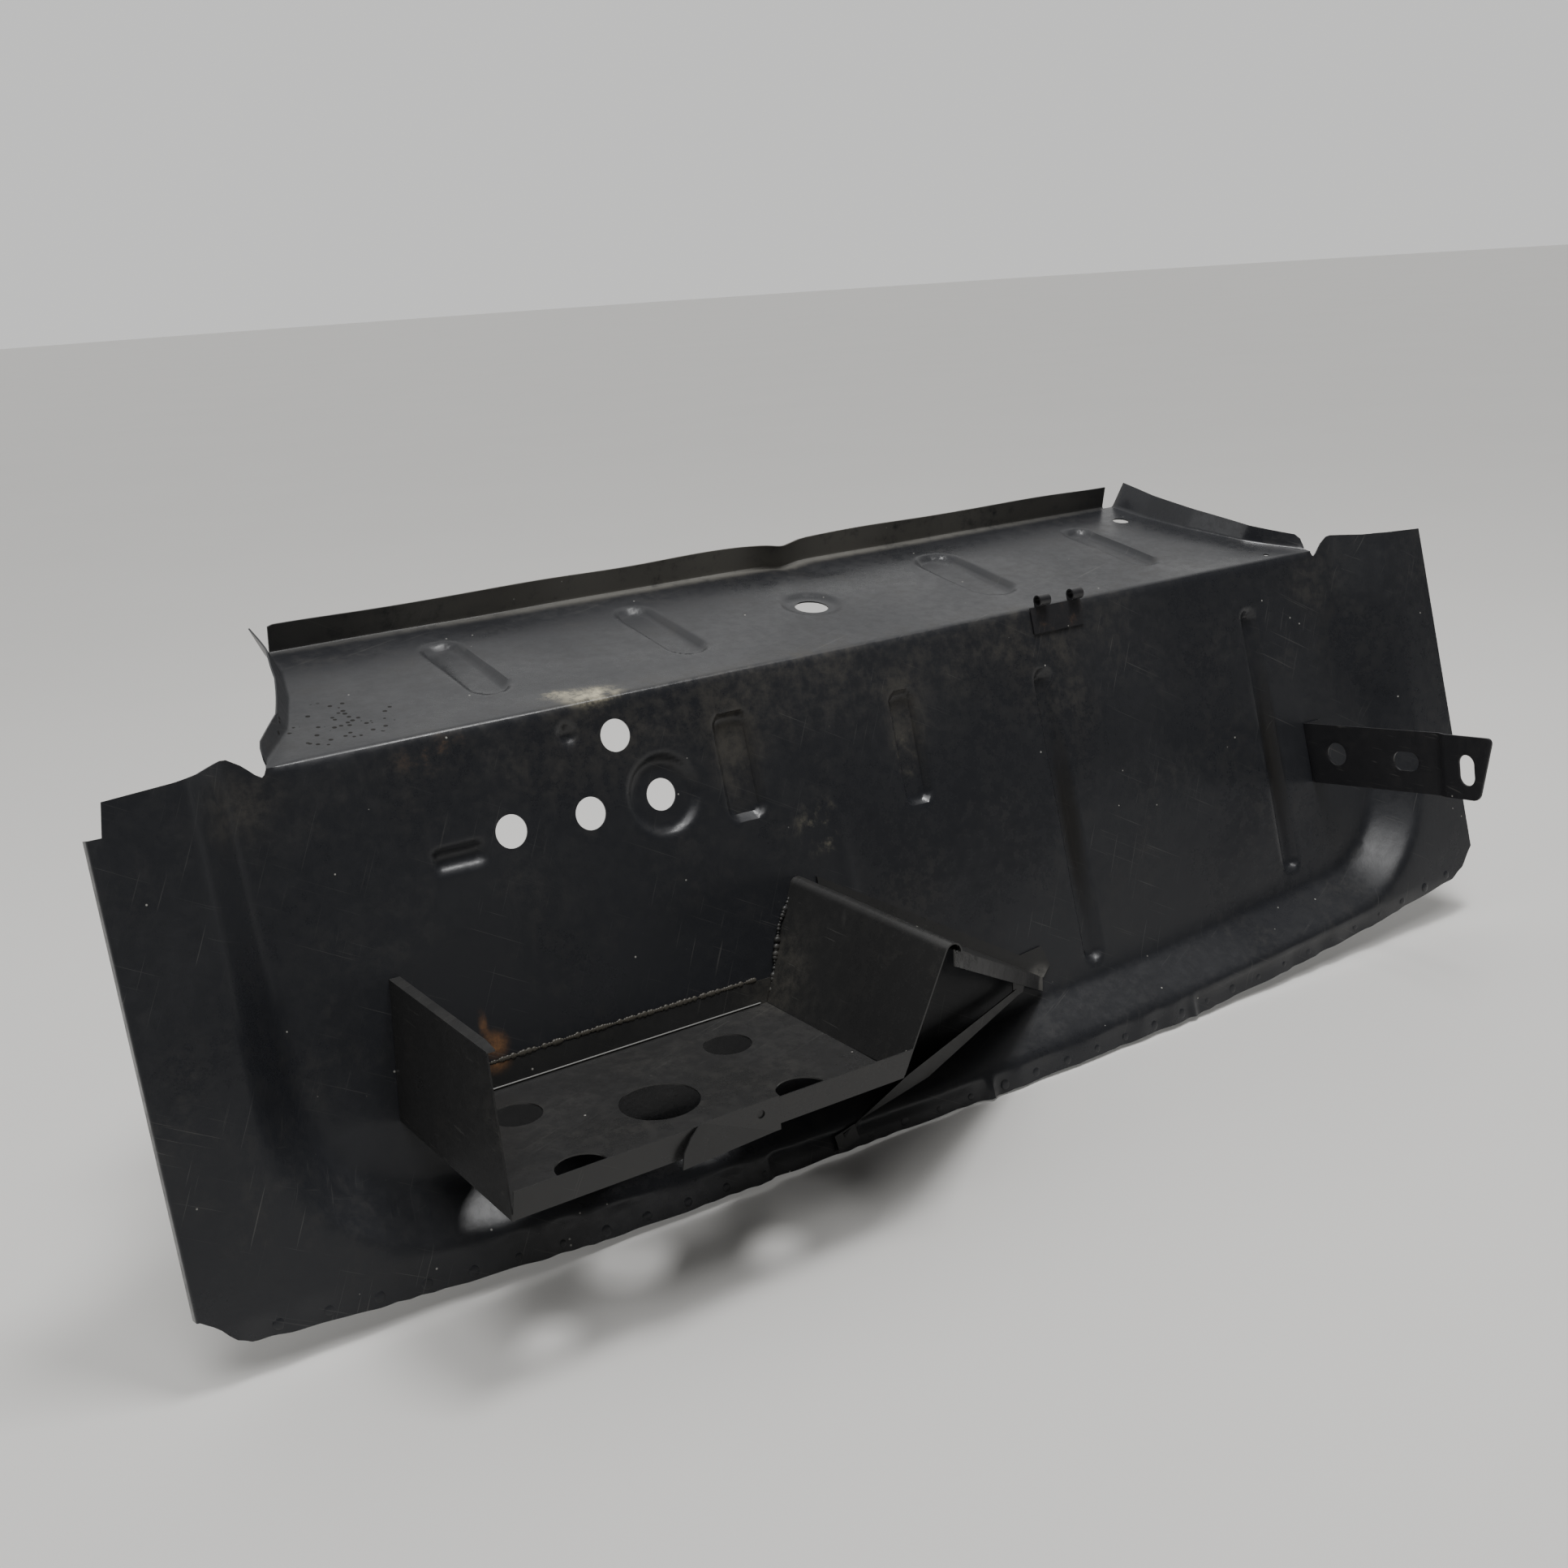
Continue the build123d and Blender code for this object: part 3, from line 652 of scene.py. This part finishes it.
armGrid = np.array(gridRows)
footX, footS = strap["footSpot"]
foot = np.array([[np.array(onFace(footX + a, footS + b, 0)) / mm + faceOut * strap["thick"]
                  for a in (0.5, 1.5, 6, 12, 17, 20, 21.5, 22)]
                 for b in np.linspace(0.5, 57.5, 10)])


def thickSheet(name, grid):
    piece = placeMesh(name, sheetMesh(name, [(grid, False)]))
    shell = piece.modifiers.new("sheet", "SOLIDIFY")
    shell.thickness = strap["thick"] * mm
    shell.offset = -1
    applied(piece)
    work = bmesh.new()
    work.from_mesh(piece.data)
    bmesh.ops.recalc_face_normals(work, faces=work.faces)
    if work.calc_volume(signed=True) < 0:
        bmesh.ops.reverse_faces(work, faces=work.faces)
    work.to_mesh(piece.data)
    work.free()
    return piece


if (np.cross(armGrid[0, 1] - armGrid[0, 0], armGrid[1, 0] - armGrid[0, 0]) @ along) > 0:
    armGrid = armGrid[::-1]
if (np.cross(foot[0, 1] - foot[0, 0], foot[1, 0] - foot[0, 0]) @ faceOut) < 0:
    foot = foot[::-1]
bracket = thickSheet("strapBracket", armGrid)
footPiece = thickSheet("strapFoot", foot)


def slotTool(work, centre, longWay, shortWay, through, length, width):
    outline = []
    for i in range(48):
        angle = i / 48 * 2 * math.pi
        shift = (length - width) / 2 * (1 if math.cos(angle) > 0 else -1)
        outline.append(longWay * (math.cos(angle) * width / 2 + shift)
                       + shortWay * math.sin(angle) * width / 2)
    low = [work.verts.new((centre + p - through * 14) * mm) for p in outline]
    high = [work.verts.new((centre + p + through * 14) * mm) for p in outline]
    for i in range(48):
        work.faces.new((low[i], low[(i + 1) % 48], high[(i + 1) % 48], high[i]))
    work.faces.new(low[::-1])
    work.faces.new(high)


toolMesh = bpy.data.meshes.new("slotTools")
work = bmesh.new()
for key in ("hole", "longHole", "slot"):
    u, v, length, width = strap[key]
    spot = (strapRoot + along * np.interp(u, steps, sideways) + run * np.interp(u, steps, forward)
            + across * v)
    longWay, shortWay = (run, across) if length > width else (across, run)
    slotTool(work, spot, longWay, shortWay, along, max(length, width), min(length, width))
bmesh.ops.recalc_face_normals(work, faces=work.faces)
work.to_mesh(toolMesh)
work.free()
cutter = placeMesh("slotTools", toolMesh)
cut = bracket.modifiers.new("holes", "BOOLEAN")
cut.operation = "DIFFERENCE"
cut.solver = "EXACT"
cut.object = cutter
applied(bracket)
work = bmesh.new()
work.from_mesh(bracket.data)
work.from_mesh(footPiece.data)
work.to_mesh(bracket.data)
work.free()
bpy.data.objects.remove(footPiece)
edgeSoft = bracket.modifiers.new("softEdges", "BEVEL")
edgeSoft.width = strap["edgeSoft"] * mm
edgeSoft.segments = 2
edgeSoft.limit_method = "ANGLE"
edgeSoft.angle_limit = math.radians(40)
applied(bracket)
bpy.data.objects.remove(cutter)
smoothShaded(bracket, 40)
dressed(bracket, bracketCoat)
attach(bracket, "root")
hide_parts("strap_bracket")


def weldTree():
    tree = bpy.data.node_groups.new("weldRow", "GeometryNodeTree")
    face = tree.interface
    face.new_socket(name="Path", in_out="INPUT", socket_type="NodeSocketGeometry")
    for label, kind in (("Spacing", "Float"), ("Size", "Float"), ("Height", "Float"), ("Scatter", "Float"),
                        ("Seed", "Int"), ("Facing", "Vector"), ("Material", "Material")):
        face.new_socket(name=label, in_out="INPUT", socket_type="NodeSocket" + kind)
    face.new_socket(name="Welds", in_out="OUTPUT", socket_type="NodeSocketGeometry")
    given = tree.nodes.new("NodeGroupInput").outputs
    curve = tree.nodes.new("GeometryNodeMeshToCurve")
    link(tree, given["Path"], curve.inputs["Mesh"])
    resample = tree.nodes.new("GeometryNodeResampleCurve")
    resample.mode = "LENGTH"
    link(tree, curve.outputs[0], resample.inputs["Curve"])
    link(tree, given["Spacing"], resample.inputs["Length"])
    ball = tree.nodes.new("GeometryNodeMeshUVSphere")
    ball.inputs["Segments"].default_value = 14
    ball.inputs["Rings"].default_value = 8
    link(tree, given["Size"], ball.inputs["Radius"])
    shape = tree.nodes.new("ShaderNodeCombineXYZ")
    shape.inputs[0].default_value = 1
    shape.inputs[1].default_value = 1
    link(tree, given["Height"], shape.inputs[2])
    flatten = tree.nodes.new("GeometryNodeTransform")
    link(tree, ball.outputs["Mesh"], flatten.inputs["Geometry"])
    link(tree, shape.outputs[0], flatten.inputs["Scale"])
    aim = tree.nodes.new("FunctionNodeAlignEulerToVector")
    aim.axis = "Z"
    link(tree, given["Facing"], aim.inputs["Vector"])
    vary = tree.nodes.new("FunctionNodeRandomValue")
    vary.data_type = "FLOAT"
    low = mathNode(tree, "SUBTRACT", 1.0, given["Scatter"])
    high = mathNode(tree, "ADD", 1.0, given["Scatter"])
    link(tree, low, vary.inputs[2])
    link(tree, high, vary.inputs[3])
    link(tree, given["Seed"], vary.inputs["Seed"])
    put = tree.nodes.new("GeometryNodeInstanceOnPoints")
    link(tree, resample.outputs[0], put.inputs["Points"])
    link(tree, flatten.outputs[0], put.inputs["Instance"])
    link(tree, aim.outputs[0], put.inputs["Rotation"])
    link(tree, vary.outputs[1], put.inputs["Scale"])
    real = tree.nodes.new("GeometryNodeRealizeInstances")
    link(tree, put.outputs[0], real.inputs[0])
    paint = tree.nodes.new("GeometryNodeSetMaterial")
    link(tree, real.outputs[0], paint.inputs["Geometry"])
    link(tree, given["Material"], paint.inputs["Material"])
    result = tree.nodes.new("NodeGroupOutput")
    link(tree, paint.outputs[0], result.inputs[0])
    return tree


def weldRow(name, points, facing, values, material, seed):
    mesh = bpy.data.meshes.new(name)
    mesh.from_pydata([tuple(p) for p in points], [(i, i + 1) for i in range(len(points) - 1)], [])
    piece = placeMesh(name, mesh)
    modifier = piece.modifiers.new("row", "NODES")
    modifier.node_group = weldGroup
    wanted = {"Spacing": values["spacing"], "Size": values["size"], "Height": values["height"],
              "Scatter": values["scatter"], "Seed": seed, "Facing": tuple(facing), "Material": material}
    for item in weldGroup.interface.items_tree:
        if item.in_out == "INPUT" and item.name in wanted:
            modifier[item.identifier] = wanted[item.name]
    applied(piece)
    smoothShaded(piece, 60)
    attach(piece, "root")
    return piece


def surfaceLine(places):
    xs = np.array([p[0] for p in places], float)
    ss = np.array([p[1] for p in places], float)
    fine = np.linspace(0, len(places) - 1, len(places) * 12)
    xs = np.interp(fine, np.arange(len(places)), xs)
    ss = np.interp(fine, np.arange(len(places)), ss)
    return facePoints(xs, ss) * mm


print("laying welds")
weldGroup = weldTree()
weldRow("bottomRimWelds", surfaceLine([(-600, 356), (-480, 368), (-350, 377), (-200, 379), (0, 381),
                                       (200, 379), (340, 371), (480, 357), (596, 341)]),
        faceOut, welds, panelCoat, 3)
flangeTop = (floorHigh[2] - foldPoint[2] * mm) / faceDown[2] / mm
floorS = (mounts["battery_seat"]["pos_m"][2] - foldPoint[2] * mm) / faceDown[2] / mm
weldRow("rightWallSeam", [onFace(-170, flangeTop + 16, 1.2), onFace(-150, flangeTop - 38, 1.2),
                          onFace(-128, flangeTop - 66, 1.2)], faceOut, seam, trayCoat, 8)

weldRow("rearFlangeSealer", [onFace(-466, flangeTop - 0.5, 1), onFace(-330, flangeTop - 1.5, 1),
                             onFace(-182, flangeTop - 1, 1)], faceOut,
        sealerRow, sealerCoat, 11)

# rolled bend where the floor turns up at its back: a thin rounded strip coloured pale grey as a painted
# highlight
bendCurve = bpy.data.curves.new("floorBend", "CURVE")
bendCurve.dimensions = "3D"
bendCurve.bevel_depth = floorBend["radius"]
bendCurve.bevel_resolution = 4
spline = bendCurve.splines.new("POLY")
spline.points.add(1)
for point, x in zip(spline.points, (floorBend["left"], floorBend["right"])):
    point.co = (*onFace(x, floorS - 0.9, 1.9), 1)
bend = bpy.data.objects.new("floorBend", bendCurve)
bpy.context.scene.collection.objects.link(bend)
bendPiece = placeMesh("floorBendStrip", bpy.data.meshes.new_from_object(
    bend.evaluated_get(bpy.context.evaluated_depsgraph_get())))
bpy.data.objects.remove(bend)
smoothShaded(bendPiece, 60)
dressed(bendPiece, bendHighlightCoat)
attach(bendPiece, "root")

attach(bulkhead, "root")
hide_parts("bulkhead_panel")

print("setting the stage")
ground = bpy.data.materials.new("paleFloor")
ground.use_nodes = True
tree = ground.node_tree
shader = tree.nodes["Principled BSDF"]
source = tree.nodes.new("ShaderNodeTexCoord").outputs["Object"]
link(tree, mixed(tree, noise(tree, source, 2.0, 5, 0.6), (0.66, 0.65, 0.63), (0.7, 0.69, 0.67)),
     shader.inputs["Base Color"])
shader.inputs["Roughness"].default_value = 0.6
mesh = bpy.data.meshes.new("floor")
work = bmesh.new()
bmesh.ops.create_circle(work, cap_ends=True, segments=96, radius=30)
bmesh.ops.translate(work, verts=work.verts, vec=(0, 0, cadBox[0][2] - 0.0005))
work.to_mesh(mesh)
work.free()
floor = placeMesh("floor", mesh)
floor.data.materials.append(ground)

# a lit backdrop behind the object, and a dimmer room in front of it
world = bpy.data.worlds.new("studio")
bpy.context.scene.world = world
world.use_nodes = True
tree = world.node_tree
split = tree.nodes.new("ShaderNodeSeparateXYZ")
link(tree, tree.nodes.new("ShaderNodeTexCoord").outputs["Generated"], split.inputs[0])
lit = ranged(tree, split.outputs["Y"], -0.35, 0.45)
link(tree, mixed(tree, lit, (0.062, 0.06, 0.057), (0.88, 0.88, 0.87)),
     tree.nodes["Background"].inputs["Color"])
tree.nodes["Background"].inputs["Strength"].default_value = 0.9


def softLight(name, spot, target, size, power):
    data = bpy.data.lights.new(name, "AREA")
    data.shape = "RECTANGLE"
    data.size, data.size_y = size
    data.energy = power
    lamp = bpy.data.objects.new(name, data)
    bpy.context.scene.collection.objects.link(lamp)
    lamp.location = spot
    lamp.rotation_euler = (Vector(target) - Vector(spot)).to_track_quat("-Z", "Y").to_euler()
    return lamp


softLight("keyLight", (0.35, -0.45, 2.3), (0, -0.1, -0.15), (0.9, 0.5), 42)
softLight("sideLight", (-2.2, -0.2, 1.5), (0, -0.1, -0.15), (0.8, 1.2), 5)
skyLamp = bpy.data.objects.new("skyLight", bpy.data.lights.new("skyLight", "SUN"))
bpy.context.scene.collection.objects.link(skyLamp)
skyLamp.data.energy = 1.5
skyLamp.data.angle = math.radians(35)
skyLamp.rotation_euler = (math.radians(18), math.radians(-12), 0)

camera = bpy.data.objects.new("camera", bpy.data.cameras.new("camera"))
bpy.context.scene.collection.objects.link(camera)
camera.data.sensor_width = 36
camera.data.lens = cameraLens
right, down, ahead = (Vector(cameraAxes[key]).normalized() for key in ("right", "down", "ahead"))
turn = Matrix((right, -down, -ahead)).transposed()
camera.matrix_world = Matrix.Translation(cameraSpot) @ turn.to_4x4()
bpy.context.scene.camera = camera
